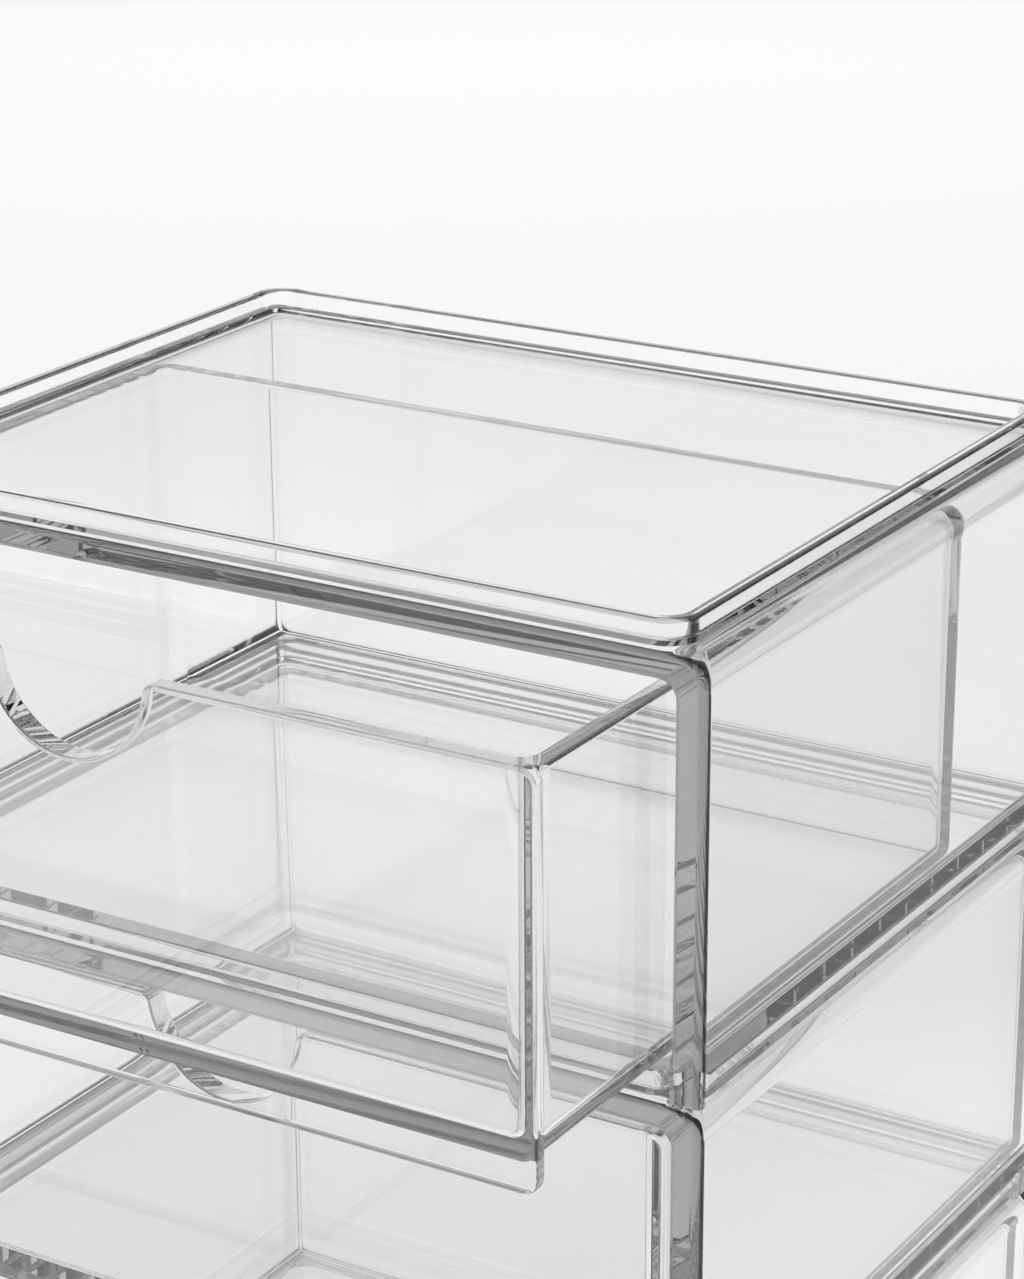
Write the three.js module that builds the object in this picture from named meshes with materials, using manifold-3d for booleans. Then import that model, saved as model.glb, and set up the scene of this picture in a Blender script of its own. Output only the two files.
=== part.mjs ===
// Three clear acrylic drawer units that stack on a dressing table, in millimetres.
// X runs to the right, Y to the back and Z up, from the middle of the footprint on the
// table. One unit is shaped with its case front in the plane Y = 0, then moved there.
import * as THREE from "three";
import { mergeVertices } from "three/addons/utils/BufferGeometryUtils.js";
import Module from "manifold-3d";

const wasm = await Module();
wasm.setup();

// Sizes of one case
const caseWidth = 214;
const caseDepth = 171;
const unitPitch = 89.5; // height that each unit adds to the stack
const wallThickness = 6.75;
const topPanelThickness = 5.4;
const floorThickness = 2.4;
const cornerRadius = 1.5; // upright outer corners of the walls
const shoulderRadius = 5; // big rounding along the top outer edges
const shoulderCornerRadius = 7.2; // corners of the ledge, seen from above
const frontEdgeRadius = 1; // top edge of the front face
const bottomEdgeRadius = 1.2;
const openingRadius = 3.6; // long inner corners of the case
const innerBackRadius = 2.4; // where the inside meets the back wall

// Sizes of the stacking rim on top of a case
const rimHeight = 5.1;
const rimThickness = 3;
const rimSideInset = 6.5;
const rimFrontInset = 2.6;
const rimCornerRadius = 7;
const rimEdgeRadius = 0.6;
const trayFilletRadius = 1.2;

// Sizes of one drawer
const plateThickness = 3.5;
const plateProud = 1.2; // how far the closed front stands out of the case
const plateBottomHeight = 2.2; // above the bottom edge of the case
const plateRadius = 3.2;
const plateEdgeRadius = 0.5;
const frontWallThickness = 5.8; // front plate and box wall together
const sideWallThickness = 4.3;
const drawerFloorThickness = 2.6;
const boxBackCornerRadius = 5;
const boxFrontCornerRadius = 0.8;
const boxBottomRadius = 4;
const boxTopEdgeRadius = 0.7;
const boxTopDrop = 0.4; // box edge below the edge of the front plate
const insideCornerRadius = 3;
const insideBottomRadius = 2.6;
const notchRadius = 17.7;
const notchLipRadius = 2.5;
const plateEmbed = 1; // how deep the box runs into the plate it is moulded with

// Sizes of the pads under the lowest case
const padLength = 14;
const padWidth = 4.4;
const padHeight = 1.6;
const padEdgeRadius = 0.4;
const padEndDistance = 9; // from the front or the back of the case to the pad
const padSideDistance = 3.7; // from the outside of the case to the middle of the pad

// Fits between the pieces
const restGap = 0.25; // between a piece and what it rests on
const nestClearance = 0.3; // round the rim inside the case above
const nestHeadroom = 0.35;
const plateClearance = 0.45;
const boxClearance = 0.95;
const drawerBackClearance = 1;
const stopGap = 0.3; // between the plate and the front edge of the floor
const overrun = 2; // how far a cutting shape runs past what it cuts

// How far each drawer is open, from the lowest to the top one
const drawerOpenings = [0, 0, 46];

// Fineness of the roundings, as steps in a quarter turn
const cornerSteps = 5;
const shoulderSteps = 6;
const edgeSteps = 2;
const filletSteps = 4;
const notchSteps = 20;
const weldTolerance = 1e-4;

// Heights in one unit, above the bottom edge of its case
const shoulderHeight = unitPitch - restGap;
const rimTop = shoulderHeight + rimHeight;
const recessTop = rimTop - unitPitch + nestHeadroom;
const floorTop = recessTop + floorThickness;
const openingTop = shoulderHeight - topPanelThickness;
const plateTop = openingTop - plateClearance;
const boxBottom = floorTop + restGap;
const boxTop = plateTop - boxTopDrop;
const insideBottom = boxBottom + drawerFloorThickness;

// Distances across and along one unit
const halfWidth = caseWidth / 2;
const openingHalfWidth = halfWidth - wallThickness;
const innerBack = caseDepth - wallThickness;
const plateHalfWidth = openingHalfWidth - plateClearance;
const plateBack = plateThickness - plateProud;
const floorFront = plateBack + stopGap;
const boxHalfWidth = openingHalfWidth - boxClearance;
const boxBack = innerBack - drawerBackClearance;

// Corner points of a rectangle with rounded corners at one height, from the front
// right corner round to the left, seen from above against the clock.
function outline({ halfX, front, back, frontRadius, backRadius, z }) {
  const corners = [
    [halfX - frontRadius, front + frontRadius, frontRadius, -Math.PI / 2],
    [halfX - backRadius, back - backRadius, backRadius, 0],
    [backRadius - halfX, back - backRadius, backRadius, Math.PI / 2],
    [frontRadius - halfX, front + frontRadius, frontRadius, Math.PI],
  ];
  const points = [];
  for (const [x, y, radius, start] of corners) {
    for (let i = 0; i <= cornerSteps; i += 1) {
      const angle = start + ((Math.PI / 2) * i) / cornerSteps;
      points.push([x + radius * Math.cos(angle), y + radius * Math.sin(angle), z]);
    }
  }
  return points;
}

// Closed skin over a row of outlines, with the first and the last one filled in.
// The outlines may turn back down inside one another, which makes a hollow.
function skin(outlines) {
  const count = outlines[0].length;
  const index = [];
  outlines.slice(1).forEach((_, level) => {
    for (let i = 0; i < count; i += 1) {
      const a = level * count + i;
      const b = level * count + ((i + 1) % count);
      index.push(a, b, b + count, a, b + count, a + count);
    }
  });
  const last = (outlines.length - 1) * count;
  for (let i = 1; i < count - 1; i += 1) {
    index.push(0, i + 1, i);
    index.push(last, last + i, last + i + 1);
  }
  const geometry = new THREE.BufferGeometry();
  geometry.setAttribute("position", new THREE.Float32BufferAttribute(outlines.flat(2), 3));
  geometry.setIndex(index);
  return geometry;
}

// Quarter turn in equal steps, as the sine and the cosine at each step
function quarter(steps) {
  return Array.from({ length: steps + 1 }, (_, i) => {
    const angle = (Math.PI / 2) * (i / steps);
    return { sine: Math.sin(angle), cosine: Math.cos(angle) };
  });
}

// Rounded rectangle in the plane of a front, as a shape to extrude
function frontShape(halfX, bottom, top, radius) {
  const shape = new THREE.Shape();
  shape.moveTo(radius - halfX, bottom);
  shape.absarc(halfX - radius, bottom + radius, radius, -Math.PI / 2, 0, false);
  shape.absarc(halfX - radius, top - radius, radius, 0, Math.PI / 2, false);
  shape.absarc(radius - halfX, top - radius, radius, Math.PI / 2, Math.PI, false);
  shape.absarc(radius - halfX, bottom + radius, radius, Math.PI, 1.5 * Math.PI, false);
  return shape;
}

// Front shape extruded towards the back from one depth to another, with its ends rounded
function alongDepth(shape, from, to, edgeRadius, steps) {
  const geometry = new THREE.ExtrudeGeometry(shape, {
    depth: to - from - 2 * edgeRadius,
    curveSegments: cornerSteps,
    bevelEnabled: edgeRadius > 0,
    bevelThickness: edgeRadius,
    bevelSize: edgeRadius,
    bevelOffset: -edgeRadius,
    bevelSegments: steps,
  });
  geometry.rotateX(Math.PI / 2);
  geometry.translate(0, to - edgeRadius, 0);
  return geometry;
}

// Solid that can be joined with others or cut by them
function solid(geometry) {
  const bare = geometry.clone();
  bare.deleteAttribute("normal");
  bare.deleteAttribute("uv");
  const welded = mergeVertices(bare, weldTolerance);
  return new wasm.Manifold(
    new wasm.Mesh({
      numProp: 3,
      vertProperties: new Float32Array(welded.attributes.position.array),
      triVerts: new Uint32Array(welded.index.array),
    }),
  );
}

// Named mesh of a solid, moved to its place
function piece(name, body, material, x, y, z) {
  const { vertProperties, triVerts } = body.getMesh();
  const geometry = new THREE.BufferGeometry();
  geometry.setAttribute("position", new THREE.BufferAttribute(vertProperties, 3));
  geometry.setIndex(new THREE.BufferAttribute(triVerts, 1));
  geometry.translate(x, y, z);
  geometry.computeVertexNormals();
  const mesh = new THREE.Mesh(geometry, material);
  mesh.name = name;
  return mesh;
}

// Outer skin of a case: walls, rounded shoulder, ledge, stacking rim and tray floor in
// one run. The corners widen from the tight wall corner to the wide corner of the ledge.
function caseSkin() {
  const around = (z, sideInset, frontInset, radius) =>
    outline({
      halfX: halfWidth - sideInset,
      front: frontInset,
      back: caseDepth - sideInset,
      frontRadius: radius,
      backRadius: radius,
      z,
    });
  const levels = [];
  for (const { sine, cosine } of quarter(edgeSteps)) {
    const inset = bottomEdgeRadius * (1 - sine);
    levels.push(around(bottomEdgeRadius * (1 - cosine), inset, inset, cornerRadius - inset));
  }
  const cornerGrowth = shoulderCornerRadius - cornerRadius;
  for (const { sine, cosine } of quarter(shoulderSteps)) {
    const below = shoulderRadius * (1 - sine);
    const turned = 1 - cosine;
    const rise = Math.max(frontEdgeRadius - below, 0);
    const frontInset = frontEdgeRadius - Math.sqrt(frontEdgeRadius ** 2 - rise ** 2);
    levels.push(
      around(
        shoulderHeight - below,
        shoulderRadius * turned,
        frontInset,
        cornerRadius + cornerGrowth * turned,
      ),
    );
  }
  const rimAt = (z, inset) =>
    around(z, rimSideInset + inset, rimFrontInset + inset, rimCornerRadius - inset);
  levels.push(rimAt(shoulderHeight, 0));
  for (const { sine, cosine } of quarter(edgeSteps)) {
    levels.push(rimAt(rimTop - rimEdgeRadius * (1 - sine), rimEdgeRadius * (1 - cosine)));
  }
  for (const { sine, cosine } of quarter(edgeSteps)) {
    const inset = rimThickness - rimEdgeRadius * (1 - sine);
    levels.push(rimAt(rimTop - rimEdgeRadius * (1 - cosine), inset));
  }
  for (const { sine, cosine } of quarter(edgeSteps)) {
    const inset = rimThickness + trayFilletRadius * (1 - cosine);
    levels.push(rimAt(shoulderHeight + trayFilletRadius * (1 - sine), inset));
  }
  return skin(levels);
}

// Hollow under a case that takes the rim of the case below
function recessSkin() {
  return skin(
    [-overrun, recessTop].map((z) =>
      outline({
        halfX: halfWidth - rimSideInset + nestClearance,
        front: rimFrontInset - nestClearance,
        back: caseDepth - rimSideInset + nestClearance,
        frontRadius: rimCornerRadius + nestClearance,
        backRadius: rimCornerRadius + nestClearance,
        z,
      }),
    ),
  );
}

// One case: its skin, hollowed from the front for the drawer and from below for stacking,
// with the floor set back so that the drawer front passes down before it
function makeCase() {
  const hollow = alongDepth(
    frontShape(openingHalfWidth, floorTop, openingTop, openingRadius),
    -overrun - innerBackRadius,
    innerBack,
    innerBackRadius,
    filletSteps,
  );
  const plateSlot = new THREE.Shape([
    new THREE.Vector2(-openingHalfWidth, -overrun),
    new THREE.Vector2(openingHalfWidth, -overrun),
    new THREE.Vector2(openingHalfWidth, floorTop + openingRadius),
    new THREE.Vector2(-openingHalfWidth, floorTop + openingRadius),
  ]);
  return solid(caseSkin())
    .subtract(solid(hollow))
    .subtract(solid(alongDepth(plateSlot, -overrun, floorFront, 0, 1)))
    .subtract(solid(recessSkin()));
}

// Open box of a drawer, wall and floor in one run from its underside up over the edge
// and down inside
function boxSkin() {
  const levels = [];
  const outside = (z, inset, bottomInset) =>
    outline({
      halfX: boxHalfWidth - inset - bottomInset,
      front: plateBack - plateEmbed + inset,
      back: boxBack - inset - bottomInset,
      frontRadius: boxFrontCornerRadius,
      backRadius: boxBackCornerRadius - bottomInset,
      z,
    });
  const inside = (z, inset) =>
    outline({
      halfX: boxHalfWidth - sideWallThickness - inset,
      front: frontWallThickness - plateProud + inset,
      back: boxBack - sideWallThickness - inset,
      frontRadius: insideCornerRadius - inset,
      backRadius: insideCornerRadius - inset,
      z,
    });
  for (const { sine, cosine } of quarter(filletSteps)) {
    const inset = boxBottomRadius * (1 - sine);
    levels.push(outside(boxBottom + boxBottomRadius * (1 - cosine), 0, inset));
  }
  for (const { sine, cosine } of quarter(edgeSteps)) {
    const inset = boxTopEdgeRadius * (1 - cosine);
    levels.push(outside(boxTop - boxTopEdgeRadius * (1 - sine), inset, 0));
  }
  for (const { sine, cosine } of quarter(edgeSteps)) {
    const inset = boxTopEdgeRadius * (sine - 1);
    levels.push(inside(boxTop - boxTopEdgeRadius * (1 - cosine), inset));
  }
  for (const { sine, cosine } of quarter(filletSteps)) {
    const inset = insideBottomRadius * (1 - cosine);
    levels.push(inside(insideBottom + insideBottomRadius * (1 - sine), inset));
  }
  return skin(levels);
}

// Finger notch: a round bite in the top edge whose lips roll over into the edge
function notchShape() {
  const lipSpread = Math.sqrt((notchRadius + notchLipRadius) ** 2 - notchLipRadius ** 2);
  const lipAngle = Math.asin(notchLipRadius / (notchRadius + notchLipRadius));
  const shape = new THREE.Shape();
  shape.moveTo(-lipSpread, plateTop + overrun);
  shape.lineTo(-lipSpread, plateTop);
  const lipZ = plateTop - notchLipRadius;
  shape.absarc(-lipSpread, lipZ, notchLipRadius, Math.PI / 2, lipAngle, true);
  shape.absarc(0, plateTop, notchRadius, Math.PI + lipAngle, 2 * Math.PI - lipAngle, false);
  shape.absarc(lipSpread, lipZ, notchLipRadius, Math.PI - lipAngle, Math.PI / 2, true);
  shape.lineTo(lipSpread, plateTop + overrun);
  return shape;
}

// One drawer: front plate and box moulded as one piece, with the notch through both
function makeDrawer() {
  const plate = alongDepth(
    frontShape(plateHalfWidth, plateBottomHeight, plateTop, plateRadius),
    -plateProud,
    plateBack,
    plateEdgeRadius,
    edgeSteps,
  );
  const notch = new THREE.ExtrudeGeometry(notchShape(), {
    depth: frontWallThickness + 2 * overrun,
    curveSegments: notchSteps,
    bevelEnabled: false,
  });
  notch.rotateX(Math.PI / 2);
  notch.translate(0, frontWallThickness - plateProud + overrun, 0);
  return solid(plate).add(solid(boxSkin())).subtract(solid(notch));
}

// One soft pad: a long round-ended slab with its edges rounded
function makePad() {
  const levels = [];
  const radius = padWidth / 2 - padEdgeRadius;
  const at = (z, grow) =>
    outline({
      halfX: radius + grow,
      front: padEdgeRadius - grow,
      back: padLength - padEdgeRadius + grow,
      frontRadius: radius + grow,
      backRadius: radius + grow,
      z,
    });
  for (const { sine, cosine } of quarter(edgeSteps)) {
    levels.push(at(padEdgeRadius * (1 - cosine), padEdgeRadius * sine));
  }
  levels.push(at(padHeight, padEdgeRadius));
  return solid(skin(levels));
}

const clear = (color, roughness) =>
  new THREE.MeshStandardMaterial({ color, roughness, metalness: 0 });

const stack = new THREE.Group();
stack.name = "stacking_acrylic_drawers";

const standForward = -(caseDepth - plateProud - Math.max(...drawerOpenings)) / 2;
const caseBody = makeCase();
const drawerBody = makeDrawer();
const padBody = makePad();
const levelNames = ["lower", "middle", "top"];

levelNames.forEach((level, i) => {
  const z = padHeight + i * unitPitch;
  stack.add(piece(`case_${level}`, caseBody, clear("#e6eaee", 0.05), 0, standForward, z));
  const y = standForward - drawerOpenings[i];
  stack.add(piece(`drawer_${level}`, drawerBody, clear("#eef0f4", 0.05), 0, y, z));
});

const padX = halfWidth - padSideDistance;
const padPlaces = [
  ["pad_front_left", -padX, padEndDistance],
  ["pad_front_right", padX, padEndDistance],
  ["pad_back_left", -padX, caseDepth - padEndDistance - padLength],
  ["pad_back_right", padX, caseDepth - padEndDistance - padLength],
];
for (const [name, x, y] of padPlaces) {
  stack.add(piece(name, padBody, clear("#d4d8dc", 0.4), x, y + standForward, 0));
}

export default stack;
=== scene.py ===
# Stack of three clear acrylic drawer units on a pale floor. Each unit is shaped once, with
# the front of its case in the plane Y = 0 and its bottom edge at Z = 0, and then placed.
import math

import bmesh
import bpy
from mathutils import Matrix, Vector


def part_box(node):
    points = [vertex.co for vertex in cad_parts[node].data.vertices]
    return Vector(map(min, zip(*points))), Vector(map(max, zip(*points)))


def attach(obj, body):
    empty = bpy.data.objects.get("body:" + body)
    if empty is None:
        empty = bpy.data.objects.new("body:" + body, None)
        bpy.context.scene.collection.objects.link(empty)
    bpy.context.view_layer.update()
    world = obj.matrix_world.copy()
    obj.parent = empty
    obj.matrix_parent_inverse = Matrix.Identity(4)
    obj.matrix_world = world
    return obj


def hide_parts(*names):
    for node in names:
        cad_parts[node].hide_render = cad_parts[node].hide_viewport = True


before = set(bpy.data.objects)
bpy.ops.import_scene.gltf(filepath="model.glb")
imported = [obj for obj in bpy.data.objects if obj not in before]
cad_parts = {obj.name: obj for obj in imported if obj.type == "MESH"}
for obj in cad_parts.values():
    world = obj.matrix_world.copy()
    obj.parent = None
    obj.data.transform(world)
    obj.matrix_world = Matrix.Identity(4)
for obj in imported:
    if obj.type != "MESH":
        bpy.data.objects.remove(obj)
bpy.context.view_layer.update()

MM = 0.001

# Places and outer sizes, from the frame
case_low, case_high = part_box("case_lower")
drawer_low, drawer_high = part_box("drawer_lower")
pad_low, pad_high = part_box("pad_front_left")
far_pad_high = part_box("pad_back_right")[1]
case_half = (case_high.x - case_low.x) / 2
case_depth = case_high.y - case_low.y
rim_top = case_high.z - case_low.z
unit_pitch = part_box("case_middle")[0].z - case_low.z
plate_proud = case_low.y - drawer_low.y
plate_half = (drawer_high.x - drawer_low.x) / 2
plate_bottom = drawer_low.z - case_low.z
plate_top = drawer_high.z - case_low.z
box_back = drawer_high.y - case_low.y

# Walls, roundings and fits of a case
wall = 6.75 * MM
rest_gap = 0.25 * MM
top_panel = 5.4 * MM
floor_thickness = 2.4 * MM
wall_corner = 1.9 * MM
shoulder = 5 * MM
ledge_corner = 7.2 * MM
front_edge = 1 * MM
bottom_edge = 1.2 * MM
opening_fillet = 3.6 * MM
back_fillet = 2.4 * MM
rim_height = 5.1 * MM
rim_thickness = 3 * MM
rim_side = 6.5 * MM
rim_front = 2.6 * MM
rim_corner = 7 * MM
rim_edge = 0.95 * MM
tray_fillet = 1.2 * MM
nest_clearance = 0.3 * MM
nest_headroom = 0.35 * MM

# Walls, roundings and fits of a drawer
plate_thickness = 3.5 * MM
plate_corner = 3.2 * MM
plate_edge = 0.95 * MM
front_wall = 5.8 * MM
side_wall = 4.3 * MM
drawer_floor = 2.6 * MM
box_clearance = 0.95 * MM
box_corner = 5 * MM
box_front_corner = 0.8 * MM
box_bottom_fillet = 4 * MM
box_edge = 1 * MM
box_drop = 0.4 * MM
inside_corner = 3 * MM
inside_fillet = 2.6 * MM
notch_radius = 17.7 * MM
notch_lip = 2.5 * MM
plate_embed = 1 * MM
stop_gap = 0.3 * MM
overrun = 2 * MM
mouth_edge = 1.3 * MM
notch_edge = 0.8 * MM
polished_edge = 0.3 * MM  # most that other edges lose; short faces beside them hold it to less
skim = 0.02 * MM  # how far a rounding starts before the face it leaves

# Heights and distances that follow from them
ledge = rim_top - rim_height
recess_top = rim_top - unit_pitch + nest_headroom
floor_top = recess_top + floor_thickness
opening_top = ledge - top_panel
opening_half = case_half - wall
inner_back = case_depth - wall
box_half = opening_half - box_clearance
box_bottom = floor_top + rest_gap
box_top = plate_top - box_drop
inside_bottom = box_bottom + drawer_floor
plate_back = plate_thickness - plate_proud
floor_front = plate_back + stop_gap

# Fineness, as steps in a quarter turn
CORNER_STEPS = 10
SHOULDER_STEPS = 14
FILLET_STEPS = 10
EDGE_STEPS = 4
POLISH_STEPS = 3
PAD_STEPS = 10
NOTCH_STEPS = 40  # over the whole notch
POLISHED_FROM = math.radians(50)  # edges that turn by more than this are polished
SHARP_FROM = math.radians(35)  # edges that turn by more than this are shaded sharp
FLAT_FACE_WEIGHT = 100  # how far big faces win over roundings in the shading

# Clear acrylic
ACRYLIC_IOR = 1.49
ACRYLIC_SHADE = (0.985, 0.985, 0.988, 1)  # what it leaves of a lamp's light
POLISH = 0.003  # roughness of clean, unworn acrylic
SCRATCH_ROUGHNESS = 0.008
DUST_ROUGHNESS = 0.02
WAVES_PER_METRE = 12
DUST_PER_METRE = 900
SCRATCH_STRETCH = (60, 700, 240)
SCRATCH_TURN = (0.3, 0.2, 0.7)
WAVE_HEIGHT = 0.6 * MM
WAVE_STRENGTH = 0.16

# Soft pads
PAD_COLOUR = (0.82, 0.84, 0.86, 1)
PAD_IOR = 1.45
PAD_CLEARNESS = 0.6
PAD_GRAIN_PER_METRE = 1500
PAD_GRAIN_HEIGHT = 0.1 * MM
PAD_GRAIN_STRENGTH = 0.3
PAD_ROUNDING = 0.49  # share of the width, almost a half circle
MERGE_DISTANCE = 0.001 * MM

# Studio
FLOOR_REACH = 8
FLOOR_GRAIN_PER_METRE = 40
FLOOR_COLOUR = (0.9, 0.9, 0.9, 1)
GLOW_COLOUR = (0.95, 0.95, 0.953, 1)
GLOW_SHARE = 0.75  # of the floor seen directly; the rest is lit and holds the shadow
GLOW_IN_PLASTIC = 1.04  # of the floor seen through or in the plastic
AHEAD_PER_METRE = 0.2  # share of the way along a floor ramp
ASIDE_PER_METRE = 0.5
ROOM_COLOUR = (0.985, 0.985, 1, 1)
ROOM_SEEN = 0.95
LIGHT_BOUNCES = 64  # enough for light that runs along inside a wall
OVERHEAD_WATTS = 12
WINDOW_WATTS = 25
WINDOW_DISTANCE = 2.2

# Light levels seen through or in the plastic, as (share of the way, level). The way runs
# from the camera's side to the far side, from left to right, or from level to overhead.
# The two floor ramps are painted shade on the floor's glow; the room ramps below it are real light.
PAINTED_FLOOR_SHADE_AHEAD = [(0.34, 0.6), (0.49, 1)]
PAINTED_FLOOR_SHADE_ASIDE = [(0.64, 1), (0.7, 0.72)]
LOW_ROOM = [(0.4, 1), (0.52, 0)]
WINDOW_SIDES = [(0.79, 0), (0.85, 1)]
WINDOW_PANE = [(0.31, 0.72), (0.38, 1)]
ROOM_CLUTTER = [(0.45, 0), (0.6, 0.22)]
SCREEN_BY_CAMERA = [(0.12, 0.7), (0.2, 0)]
HIGH_ROOM = [(0.1, 0.2), (0.5, 0.26), (0.85, 0.5)]
CEILING = [(0.75, 1), (0.95, 0.25)]


def quarter(steps):
    """Sine and cosine at equal steps through a quarter turn."""
    angles = [math.pi / 2 * i / steps for i in range(steps + 1)]
    return [(math.sin(a), math.cos(a)) for a in angles]


def rounded(half, low, high, low_radius, high_radius):
    """Rounded rectangle, as (across, along) points against the clock."""
    corners = (
        (half - low_radius, low + low_radius, low_radius, -0.5),
        (half - high_radius, high - high_radius, high_radius, 0),
        (high_radius - half, high - high_radius, high_radius, 0.5),
        (low_radius - half, low + low_radius, low_radius, 1),
    )
    points = []
    for across, along, radius, turn in corners:
        for i in range(CORNER_STEPS + 1):
            angle = math.pi * (turn + 0.5 * i / CORNER_STEPS)
            points.append((across + radius * math.cos(angle), along + radius * math.sin(angle)))
    return points


def skin(levels):
    """Closed mesh over rings of points, with the first and last ring filled in."""
    shape = bmesh.new()
    rings = [[shape.verts.new(point) for point in level] for level in levels]
    for lower, upper in zip(rings, rings[1:]):
        for i in range(len(lower)):
            j = (i + 1) % len(lower)
            shape.faces.new((lower[i], lower[j], upper[j], upper[i]))
    shape.faces.new(rings[0][::-1])
    shape.faces.new(rings[-1])
    bmesh.ops.recalc_face_normals(shape, faces=shape.faces)
    mesh = bpy.data.meshes.new("shape")
    shape.to_mesh(mesh)
    shape.free()
    return mesh


def flat_ring(points, z):
    """Outline laid flat at a height."""
    return [(x, y, z) for x, y in points]


def upright_ring(points, y):
    """Outline stood upright, facing the front."""
    return [(x, y, z) for x, z in points]


def part(name, data):
    """Object of a mesh, lamp or camera, in the scene."""
    made = bpy.data.objects.new(name, data)
    bpy.context.scene.collection.objects.link(made)
    return made


def shaped_mesh(made):
    """Mesh of an object after its modifiers."""
    bpy.context.view_layer.update()
    shaped = made.evaluated_get(bpy.context.evaluated_depsgraph_get())
    return bpy.data.meshes.new_from_object(shaped)


def joined_solid(name, body, tools):
    """Mesh of a body after its tools, given as (operation, mesh), and a polish of its edges."""
    made = part(name, body)
    helpers = []
    for operation, mesh in tools:
        helper = part("helper", mesh)
        helpers.append(helper)
        step = made.modifiers.new("shape", "BOOLEAN")
        step.operation = operation
        step.solver = "EXACT"
        step.object = helper
    edges = made.modifiers.new("polish", "BEVEL")
    edges.width = polished_edge
    edges.segments = POLISH_STEPS
    edges.limit_method = "ANGLE"
    edges.angle_limit = POLISHED_FROM
    edges.miter_outer = "MITER_ARC"
    finished = shaped_mesh(made)
    for thing in [made, *helpers]:
        bpy.data.objects.remove(thing)
    return smoothed(finished)


def smoothed(mesh):
    """The mesh shaded smooth on its roundings and flat on its faces."""
    for face in mesh.polygons:
        face.use_smooth = True
    mesh.set_sharp_from_angle(angle=SHARP_FROM)
    made = part("smooth", mesh)
    weights = made.modifiers.new("weights", "WEIGHTED_NORMAL")
    weights.keep_sharp = True
    weights.weight = FLAT_FACE_WEIGHT
    finished = shaped_mesh(made)
    bpy.data.objects.remove(made)
    return finished


def case_skin():
    """Outside of a case: walls, rounded shoulder, ledge, stacking rim and tray floor."""

    def ring(z, side, front, radius):
        points = rounded(case_half - side, front, case_depth - side, radius, radius)
        return flat_ring(points, z)

    def rim_ring(z, inset):
        return ring(z, rim_side + inset, rim_front + inset, rim_corner - inset)

    levels = []
    for sine, cosine in quarter(EDGE_STEPS):
        inset = bottom_edge * (1 - sine)
        levels.append(ring(bottom_edge * (1 - cosine), inset, inset, wall_corner - inset))
    for sine, cosine in quarter(SHOULDER_STEPS):
        below = shoulder * (1 - sine)
        turned = 1 - cosine
        rise = max(front_edge - below, 0)
        front = front_edge - math.sqrt(front_edge**2 - rise**2)
        radius = wall_corner + (ledge_corner - wall_corner) * turned
        levels.append(ring(ledge - below, shoulder * turned, front, radius))
    levels.append(rim_ring(ledge, 0))
    for sine, cosine in quarter(EDGE_STEPS):
        levels.append(rim_ring(rim_top - rim_edge * (1 - sine), rim_edge * (1 - cosine)))
    for sine, cosine in quarter(EDGE_STEPS):
        height = rim_top - rim_edge * (1 - cosine)
        levels.append(rim_ring(height, rim_thickness - rim_edge * (1 - sine)))
    for sine, cosine in quarter(EDGE_STEPS):
        height = ledge + tray_fillet * (1 - sine)
        levels.append(rim_ring(height, rim_thickness + tray_fillet * (1 - cosine)))
    return skin(levels)


def case_hollow():
    """Room for the drawer, open at the front and rounded at the back."""
    low, high = floor_top, opening_top

    def ring(y, inset):
        radius = opening_fillet - inset
        return upright_ring(
            rounded(opening_half - inset, low + inset, high - inset, radius, radius), y
        )

    levels = [ring(-overrun, -mouth_edge)]
    for sine, cosine in quarter(EDGE_STEPS):
        levels.append(ring(mouth_edge * (1 - cosine) - skim, mouth_edge * (sine - 1)))
    for sine, cosine in quarter(FILLET_STEPS):
        levels.append(ring(inner_back - back_fillet * (1 - sine), back_fillet * (1 - cosine)))
    return skin(levels)


def plate_slot():
    """Room for the front plate of the drawer, down past the edge of the floor."""
    high = floor_top + opening_fillet
    corners = [
        (-opening_half, -overrun),
        (opening_half, -overrun),
        (opening_half, high),
        (-opening_half, high),
    ]
    return skin([upright_ring(corners, -overrun), upright_ring(corners, floor_front)])


def stacking_recess():
    """Room under a case for the rim of the one below."""
    radius = rim_corner + nest_clearance
    points = rounded(
        case_half - rim_side + nest_clearance,
        rim_front - nest_clearance,
        case_depth - rim_side + nest_clearance,
        radius,
        radius,
    )
    return skin([flat_ring(points, -overrun), flat_ring(points, recess_top)])


def case_mesh():
    cuts = [case_hollow(), plate_slot(), stacking_recess()]
    return joined_solid("case", case_skin(), [("DIFFERENCE", cut) for cut in cuts])


def drawer_box():
    """Open box of a drawer, in one run from its underside over the edge and down inside."""

    def outside(z, inset, bottom):
        points = rounded(
            box_half - inset - bottom,
            plate_back - plate_embed + inset,
            box_back - inset - bottom,
            box_front_corner,
            box_corner - bottom,
        )
        return flat_ring(points, z)

    def inside(z, inset):
        radius = inside_corner - inset
        points = rounded(
            box_half - side_wall - inset,
            front_wall - plate_proud + inset,
            box_back - side_wall - inset,
            radius,
            radius,
        )
        return flat_ring(points, z)

    levels = []
    for sine, cosine in quarter(FILLET_STEPS):
        height = box_bottom + box_bottom_fillet * (1 - cosine)
        levels.append(outside(height, 0, box_bottom_fillet * (1 - sine)))
    for sine, cosine in quarter(EDGE_STEPS):
        levels.append(outside(box_top - box_edge * (1 - sine), box_edge * (1 - cosine), 0))
    for sine, cosine in quarter(EDGE_STEPS):
        levels.append(inside(box_top - box_edge * (1 - cosine), box_edge * (sine - 1)))
    for sine, cosine in quarter(FILLET_STEPS):
        height = inside_bottom + inside_fillet * (1 - sine)
        levels.append(inside(height, inside_fillet * (1 - cosine)))
    return skin(levels)


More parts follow.
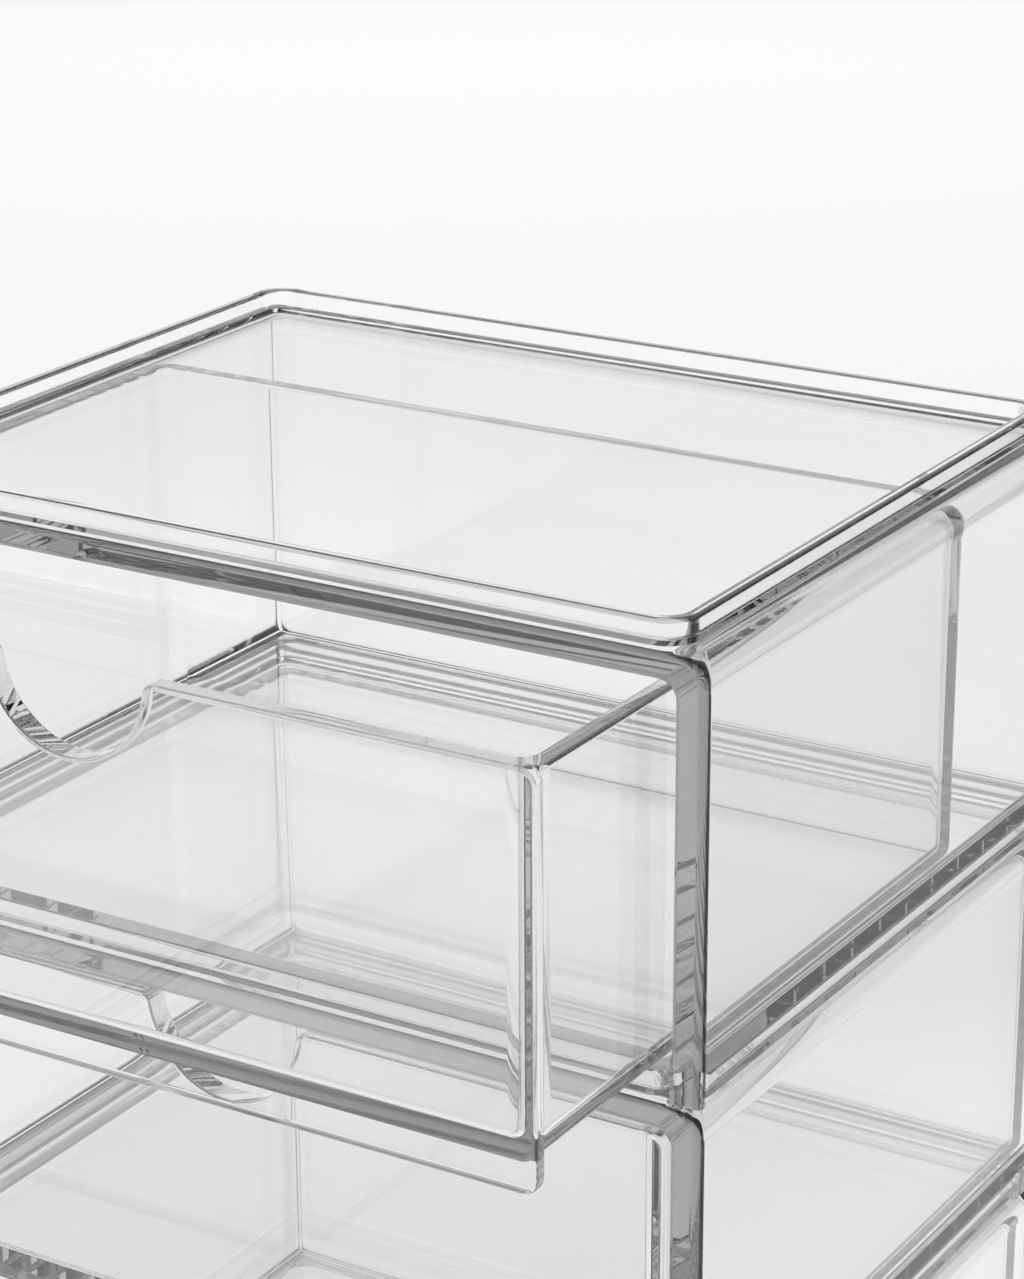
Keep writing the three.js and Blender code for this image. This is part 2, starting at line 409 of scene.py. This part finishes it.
def front_plate():
    """Front plate of a drawer, with its outer edges rounded."""

    def ring(y, inset):
        radius = plate_corner - inset
        points = rounded(
            plate_half - inset, plate_bottom + inset, plate_top - inset, radius, radius
        )
        return upright_ring(points, y)

    levels = []
    for sine, cosine in quarter(EDGE_STEPS):
        levels.append(ring(-plate_proud + plate_edge * (1 - cosine), plate_edge * (1 - sine)))
    for sine, cosine in quarter(EDGE_STEPS):
        levels.append(ring(plate_back - plate_edge * (1 - sine), plate_edge * (1 - cosine)))
    return skin(levels)


def notch_outline(grown):
    """Outline of the finger notch, whose lips roll over into the top edge, grown all round."""
    reach = notch_radius + notch_lip
    spread = math.sqrt(reach**2 - notch_lip**2)
    lip_angle = math.asin(notch_lip / reach)
    lip = notch_lip - grown
    points = [(spread, plate_top + overrun)]
    for i in range(FILLET_STEPS + 1):
        angle = math.pi / 2 + (math.pi / 2 - lip_angle) * i / FILLET_STEPS
        points.append(
            (spread + lip * math.cos(angle), plate_top - notch_lip + lip * math.sin(angle))
        )
    for i in range(1, NOTCH_STEPS):
        angle = -lip_angle - (math.pi - 2 * lip_angle) * i / NOTCH_STEPS
        radius = notch_radius + grown
        points.append((radius * math.cos(angle), plate_top + radius * math.sin(angle)))
    for i in range(FILLET_STEPS + 1):
        angle = lip_angle + (math.pi / 2 - lip_angle) * i / FILLET_STEPS
        points.append(
            (-spread + lip * math.cos(angle), plate_top - notch_lip + lip * math.sin(angle))
        )
    points.append((-spread, plate_top + overrun))
    return points


def finger_notch():
    """Round bite out of the top edge of the front, with its front and back edges rounded."""
    front = -plate_proud
    back = front_wall - plate_proud

    def ring(y, grown):
        return upright_ring(notch_outline(grown), y)

    levels = [ring(front - overrun, notch_edge)]
    for sine, cosine in quarter(EDGE_STEPS):
        levels.append(ring(front + notch_edge * (1 - cosine) - skim, notch_edge * (1 - sine)))
    for sine, cosine in quarter(EDGE_STEPS):
        levels.append(ring(back - notch_edge * (1 - sine) + skim, notch_edge * (1 - cosine)))
    levels.append(ring(back + overrun, notch_edge))
    return skin(levels)


def drawer_mesh():
    tools = [("UNION", drawer_box()), ("DIFFERENCE", finger_notch())]
    return joined_solid("drawer", front_plate(), tools)


class Value:
    """Socket whose arithmetic adds Math nodes."""

    def __init__(self, finish, socket):
        self.finish = finish
        self.socket = socket

    def maths(self, operation, first, second):
        return self.finish.node("ShaderNodeMath", {"operation": operation}, {0: first, 1: second})

    def __add__(self, other):
        return self.maths("ADD", self, other)

    def __radd__(self, other):
        return self.maths("ADD", other, self)

    def __rsub__(self, other):
        return self.maths("SUBTRACT", other, self)

    def __mul__(self, other):
        return self.maths("MULTIPLY", self, other)

    def __rmul__(self, other):
        return self.maths("MULTIPLY", other, self)


class Finish:
    """Node tree of a material or of the world."""

    def __init__(self, owner):
        self.tree = owner.node_tree
        self.tree.nodes.clear()

    def node(self, kind, settings=None, sockets=None, out=0):
        made = self.tree.nodes.new(kind)
        for name, setting in (settings or {}).items():
            setattr(made, name, setting)
        for name, value in (sockets or {}).items():
            if isinstance(value, Value):
                self.tree.links.new(value.socket, made.inputs[name])
            else:
                made.inputs[name].default_value = value
        return Value(self, made.outputs[out]) if made.outputs else None

    def reach(self, place, way):
        """How far a place or direction reaches along a way."""
        return self.node(
            "ShaderNodeVectorMath", {"operation": "DOT_PRODUCT"}, {0: place, 1: way}, "Value"
        )

    def ramp(self, value, stops):
        """Value run through a ramp of (place, grey) stops."""
        made = self.node("ShaderNodeValToRGB", {}, {"Fac": value})
        elements = made.socket.node.color_ramp.elements
        while len(elements) < len(stops):
            elements.new(0.5)
        for element, (place, grey) in zip(elements, stops):
            element.position = place
            element.color = (grey, grey, grey, 1)
        return made


def new_finish(name):
    material = bpy.data.materials.new(name)
    material.use_nodes = True
    return material, Finish(material)


def clear_acrylic(name, tint, depth_tint, density, wave_seed):
    """Polished clear acrylic: faint moulding waves, hairline scratches and a little dust.

    It absorbs by depth, so that light which runs along inside a wall leaves its edge grey.
    """
    material, finish = new_finish(name)
    place = finish.node("ShaderNodeTexCoord", out="Object")
    moved = finish.node(
        "ShaderNodeMapping", {}, {"Vector": place, "Location": (wave_seed, wave_seed, 0)}
    )
    waves = finish.node(
        "ShaderNodeTexNoise", {}, {"Vector": moved, "Scale": WAVES_PER_METRE, "Detail": 0}
    )
    dust = finish.node(
        "ShaderNodeTexNoise",
        {},
        {"Vector": moved, "Scale": DUST_PER_METRE, "Detail": 2, "Roughness": 0.6},
    )
    hair = finish.node(
        "ShaderNodeMapping",
        {},
        {"Vector": place, "Scale": SCRATCH_STRETCH, "Rotation": SCRATCH_TURN},
    )
    scratches = finish.node(
        "ShaderNodeTexNoise", {}, {"Vector": hair, "Scale": 1, "Detail": 3, "Roughness": 0.7}
    )
    worn = finish.ramp(scratches, [(0.6, 0), (0.72, 1)])
    speck = finish.ramp(dust, [(0.62, 0), (0.7, 1)])
    roughness = POLISH + SCRATCH_ROUGHNESS * worn + DUST_ROUGHNESS * speck
    bump = finish.node(
        "ShaderNodeBump",
        {},
        {"Height": waves, "Strength": WAVE_STRENGTH, "Distance": WAVE_HEIGHT},
    )
    body = finish.node(
        "ShaderNodeBsdfPrincipled",
        {},
        {
            "Base Color": tint,
            "Roughness": roughness,
            "IOR": ACRYLIC_IOR,
            "Transmission Weight": 1,
            "Normal": bump,
        },
    )
    passing = finish.node("ShaderNodeBsdfTransparent", {}, {"Color": ACRYLIC_SHADE})
    lamp_ray = finish.node("ShaderNodeLightPath", out="Is Shadow Ray")
    mixed = finish.node("ShaderNodeMixShader", {}, {0: lamp_ray, 1: body, 2: passing})
    depth = finish.node("ShaderNodeVolumeAbsorption", {}, {"Color": depth_tint, "Density": density})
    finish.node("ShaderNodeOutputMaterial", {}, {"Surface": mixed, "Volume": depth})
    return material


def soft_clear_rubber():
    """Cloudy soft pad."""
    material, finish = new_finish("soft clear rubber")
    place = finish.node("ShaderNodeTexCoord", out="Object")
    grain = finish.node(
        "ShaderNodeTexNoise",
        {},
        {"Vector": place, "Scale": PAD_GRAIN_PER_METRE, "Detail": 3, "Roughness": 0.6},
    )
    bump = finish.node(
        "ShaderNodeBump",
        {},
        {"Height": grain, "Strength": PAD_GRAIN_STRENGTH, "Distance": PAD_GRAIN_HEIGHT},
    )
    body = finish.node(
        "ShaderNodeBsdfPrincipled",
        {},
        {
            "Base Color": PAD_COLOUR,
            "Roughness": 0.3 + 0.25 * grain,
            "IOR": PAD_IOR,
            "Transmission Weight": PAD_CLEARNESS,
            "Normal": bump,
        },
    )
    finish.node("ShaderNodeOutputMaterial", {}, {"Surface": body})
    return material


def place_unit(level, case_shape, drawer_shape, case_finish, drawer_finish):
    """Case and drawer of one unit, standing in for their nodes of the frame."""
    for kind, shape, finish in (
        ("case", case_shape, case_finish),
        ("drawer", drawer_shape, drawer_finish),
    ):
        node = f"{kind}_{level}"
        low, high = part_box(node)
        front = -plate_proud if kind == "drawer" else 0
        bottom = plate_bottom if kind == "drawer" else 0
        mesh = shape.copy()
        mesh.transform(Matrix.Translation((0, low.y - front, low.z - bottom)))
        mesh.materials.clear()
        mesh.materials.append(finish)
        made = part(f"clear_{node}", mesh)
        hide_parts(node)
        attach(made, node)


def pad_tree(finish):
    """Geometry nodes that set a round-ended pad under each corner."""
    tree = bpy.data.node_groups.new("pads", "GeometryNodeTree")
    face = tree.interface
    names = ("Pad length", "Pad width", "Pad height", "Spread across", "Spread along", "Rounding")
    for name in names:
        face.new_socket(name, in_out="INPUT", socket_type="NodeSocketFloat")
    face.new_socket("Pads", in_out="OUTPUT", socket_type="NodeSocketGeometry")
    given = tree.nodes.new("NodeGroupInput").outputs

    def node(kind, settings=None, sockets=None):
        made = tree.nodes.new(kind)
        for name, setting in (settings or {}).items():
            setattr(made, name, setting)
        for name, value in (sockets or {}).items():
            if isinstance(value, bpy.types.NodeSocket):
                tree.links.new(value, made.inputs[name])
            else:
                made.inputs[name].default_value = value
        return made.outputs

    grid = node(
        "GeometryNodeMeshGrid",
        {},
        {
            "Size X": given["Spread across"],
            "Size Y": given["Spread along"],
            "Vertices X": 2,
            "Vertices Y": 2,
        },
    )
    slab = node(
        "GeometryNodeCurvePrimitiveQuadrilateral",
        {},
        {"Width": given["Pad width"], "Height": given["Pad length"]},
    )
    round_ended = node(
        "GeometryNodeFilletCurve",
        {"mode": "POLY"},
        {"Curve": slab[0], "Count": PAD_STEPS, "Radius": given["Rounding"]},
    )
    sole = node("GeometryNodeFillCurve", {"mode": "NGONS"}, {"Curve": round_ended[0]})
    grown = node(
        "GeometryNodeExtrudeMesh", {}, {"Mesh": sole[0], "Offset Scale": given["Pad height"]}
    )
    turned = node("GeometryNodeFlipFaces", {}, {"Mesh": sole[0]})
    both = tree.nodes.new("GeometryNodeJoinGeometry")
    tree.links.new(grown[0], both.inputs[0])
    tree.links.new(turned[0], both.inputs[0])
    closed = node(
        "GeometryNodeMergeByDistance",
        {},
        {"Geometry": both.outputs[0], "Distance": MERGE_DISTANCE},
    )
    spread = node("GeometryNodeInstanceOnPoints", {}, {"Points": grid[0], "Instance": closed[0]})
    real = node("GeometryNodeRealizeInstances", {}, {"Geometry": spread[0]})
    painted = node("GeometryNodeSetMaterial", {}, {"Geometry": real[0], "Material": finish})
    leave = tree.nodes.new("NodeGroupOutput")
    tree.links.new(painted[0], leave.inputs[0])
    return tree


def place_pads(finish):
    """Pads under the lowest case, as one piece."""
    holder = part("pads", bpy.data.meshes.new("pads"))
    pads = holder.modifiers.new("pads", "NODES")
    pads.node_group = pad_tree(finish)
    sizes = {
        "Pad length": pad_high.y - pad_low.y,
        "Pad width": pad_high.x - pad_low.x,
        "Pad height": pad_high.z - pad_low.z,
        "Spread across": far_pad_high.x - pad_high.x,
        "Spread along": far_pad_high.y - pad_high.y,
        "Rounding": PAD_ROUNDING * (pad_high.x - pad_low.x),
    }
    for item in pads.node_group.interface.items_tree:
        if item.in_out == "INPUT":
            pads[item.identifier] = sizes[item.name]
    mesh = shaped_mesh(holder)
    bpy.data.objects.remove(holder)
    middle = (pad_low + far_pad_high) / 2
    mesh.transform(Matrix.Translation((middle.x, middle.y, pad_low.z)))
    made = part("soft_pads", mesh)
    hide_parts("pad_front_left", "pad_front_right", "pad_back_left", "pad_back_right")
    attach(made, "case_lower")


# Camera, at the place and with the lens worked out from the photograph
CAMERA_PLACE = Vector((392.75, -593.35, 492.06)) * MM
CAMERA_AZIMUTH = math.radians(31.55)
CAMERA_HEIGHT_ANGLE = math.radians(21.89)
CAMERA_ROLL = math.radians(-0.37)
PHOTO_HEIGHT = 1279  # pixels
FOCAL_LENGTH = 3647.4  # pixels
AXIS_ROW = 768  # pixel row that the camera points at
SENSOR = 24


def place_camera():
    side, turn = math.sin(CAMERA_AZIMUTH), math.cos(CAMERA_AZIMUTH)
    drop, level = math.sin(CAMERA_HEIGHT_ANGLE), math.cos(CAMERA_HEIGHT_ANGLE)
    forward = Vector((-side * level, turn * level, -drop))
    right = Vector((turn, side, 0))
    up = right.cross(forward)
    rolled_right = right * math.cos(CAMERA_ROLL) + up * math.sin(CAMERA_ROLL)
    rolled_up = up * math.cos(CAMERA_ROLL) - right * math.sin(CAMERA_ROLL)
    turned = Matrix((rolled_right, rolled_up, -forward)).transposed().to_4x4()
    camera = bpy.data.cameras.new("camera")
    camera.sensor_fit = "VERTICAL"
    camera.sensor_height = SENSOR
    camera.lens = SENSOR * FOCAL_LENGTH / PHOTO_HEIGHT
    camera.shift_y = (AXIS_ROW - PHOTO_HEIGHT / 2) / PHOTO_HEIGHT
    camera.clip_end = 50
    made = part("camera", camera)
    made.matrix_world = Matrix.Translation(CAMERA_PLACE) @ turned
    bpy.context.scene.camera = made


def lamp(name, place, aim, width, height, strength):
    """Soft lamp that lights the floor and doesn't show in the plastic."""
    light = bpy.data.lights.new(name, "AREA")
    light.shape = "RECTANGLE"
    light.size = width
    light.size_y = height
    light.energy = strength
    made = part(name, light)
    made.location = place
    made.rotation_euler = (Vector(aim) - Vector(place)).to_track_quat("-Z", "Y").to_euler()
    made.visible_glossy = False
    made.visible_transmission = False


def studio():
    """Pale floor, soft lamps and a room that is bright behind the object and dim elsewhere."""
    ahead_way = (-math.sin(CAMERA_AZIMUTH), math.cos(CAMERA_AZIMUTH), 0)
    right_way = (math.cos(CAMERA_AZIMUTH), math.sin(CAMERA_AZIMUTH), 0)
    floor = bmesh.new()
    bmesh.ops.create_circle(floor, cap_ends=True, segments=64, radius=FLOOR_REACH)
    mesh = bpy.data.meshes.new("floor")
    floor.to_mesh(mesh)
    floor.free()
    paper, finish = new_finish("pale paper")
    place = finish.node("ShaderNodeTexCoord", out="Object")
    grain = finish.node(
        "ShaderNodeTexNoise", {}, {"Vector": place, "Scale": FLOOR_GRAIN_PER_METRE, "Detail": 3}
    )
    lit = finish.node(
        "ShaderNodeBsdfPrincipled",
        {},
        {"Base Color": FLOOR_COLOUR, "Roughness": 0.75 + 0.1 * grain},
    )
    # Painted shade: seen through or in the plastic, the floor's glow dims towards the camera and to
    # the right.
    along = finish.reach(place, ahead_way) * AHEAD_PER_METRE + 0.5
    aside = finish.reach(place, right_way) * ASIDE_PER_METRE + 0.5
    painted_shade_ahead = finish.ramp(along, PAINTED_FLOOR_SHADE_AHEAD)
    painted_floor_shade = painted_shade_ahead * finish.ramp(aside, PAINTED_FLOOR_SHADE_ASIDE)
    camera_ray = finish.node("ShaderNodeLightPath", out="Is Camera Ray")
    glow = finish.node(
        "ShaderNodeEmission",
        {},
        {
            "Color": GLOW_COLOUR,
            "Strength": camera_ray + GLOW_IN_PLASTIC * (1 - camera_ray) * painted_floor_shade,
        },
    )
    glossy_ray = finish.node("ShaderNodeLightPath", out="Is Glossy Ray")
    passing_ray = finish.node("ShaderNodeLightPath", out="Is Transmission Ray")
    seen = GLOW_SHARE * camera_ray + glossy_ray + passing_ray
    shown = finish.node("ShaderNodeMixShader", {}, {0: seen, 1: lit, 2: glow})
    finish.node("ShaderNodeOutputMaterial", {}, {"Surface": shown})
    mesh.materials.append(paper)
    part("floor", mesh)

    world = bpy.data.worlds.new("room")
    bpy.context.scene.world = world
    world.use_nodes = True
    room = Finish(world)
    direction = room.node("ShaderNodeTexCoord", out="Generated")
    ahead = room.reach(direction, ahead_way) * 0.5 + 0.5
    up = room.reach(direction, (0, 0, 1))
    low = room.ramp(up, LOW_ROOM)
    clutter = room.node("ShaderNodeTexNoise", {}, {"Vector": direction, "Scale": 5, "Detail": 2})
    window = room.ramp(ahead, WINDOW_SIDES)
    pane = room.ramp(up + 0.06 * clutter, WINDOW_PANE)
    dim = room.ramp(clutter, ROOM_CLUTTER)
    screen = room.ramp(ahead, SCREEN_BY_CAMERA)
    high = room.ramp(ahead, HIGH_ROOM)
    ceiling = room.ramp(up, CEILING)
    near_ground = window * pane * 1.05 + screen + (1 - window) * dim
    brightness = low * near_ground + (1 - low) * high * ceiling
    camera_ray = room.node("ShaderNodeLightPath", out="Is Camera Ray")
    shown = ROOM_SEEN * camera_ray + (1 - camera_ray) * brightness
    light = room.node("ShaderNodeBackground", {}, {"Color": ROOM_COLOUR, "Strength": shown})
    room.node("ShaderNodeOutputWorld", {}, {"Surface": light})
    lamp("overhead", (-0.3, 0.2, 1.6), (0, 0, 0.1), 1.6, 1.2, OVERHEAD_WATTS)
    behind = Vector(ahead_way) * WINDOW_DISTANCE
    lamp("window behind", behind + Vector((0, 0, 1.0)), (0, 0, 0.2), 2.6, 1.1, WINDOW_WATTS)


case_shape = case_mesh()
drawer_shape = drawer_mesh()
case_acrylic = clear_acrylic(
    "clear acrylic case", (0.997, 0.997, 0.998, 1), (0.5, 0.5, 0.515, 1), 10, 0
)
drawer_acrylic = clear_acrylic(
    "clear acrylic drawer", (0.997, 0.997, 0.997, 1), (0.5, 0.5, 0.51, 1), 5.4, 0.37
)
for level in ("lower", "middle", "top"):
    place_unit(level, case_shape, drawer_shape, case_acrylic, drawer_acrylic)
place_pads(soft_clear_rubber())
place_camera()
studio()

scene = bpy.context.scene
scene.view_settings.view_transform = "Standard"
scene.cycles.max_bounces = LIGHT_BOUNCES
scene.cycles.diffuse_bounces = 1
scene.cycles.transmission_bounces = LIGHT_BOUNCES
scene.cycles.transparent_max_bounces = LIGHT_BOUNCES
scene.cycles.glossy_bounces = LIGHT_BOUNCES
scene.cycles.caustics_refractive = False
scene.cycles.caustics_reflective = False
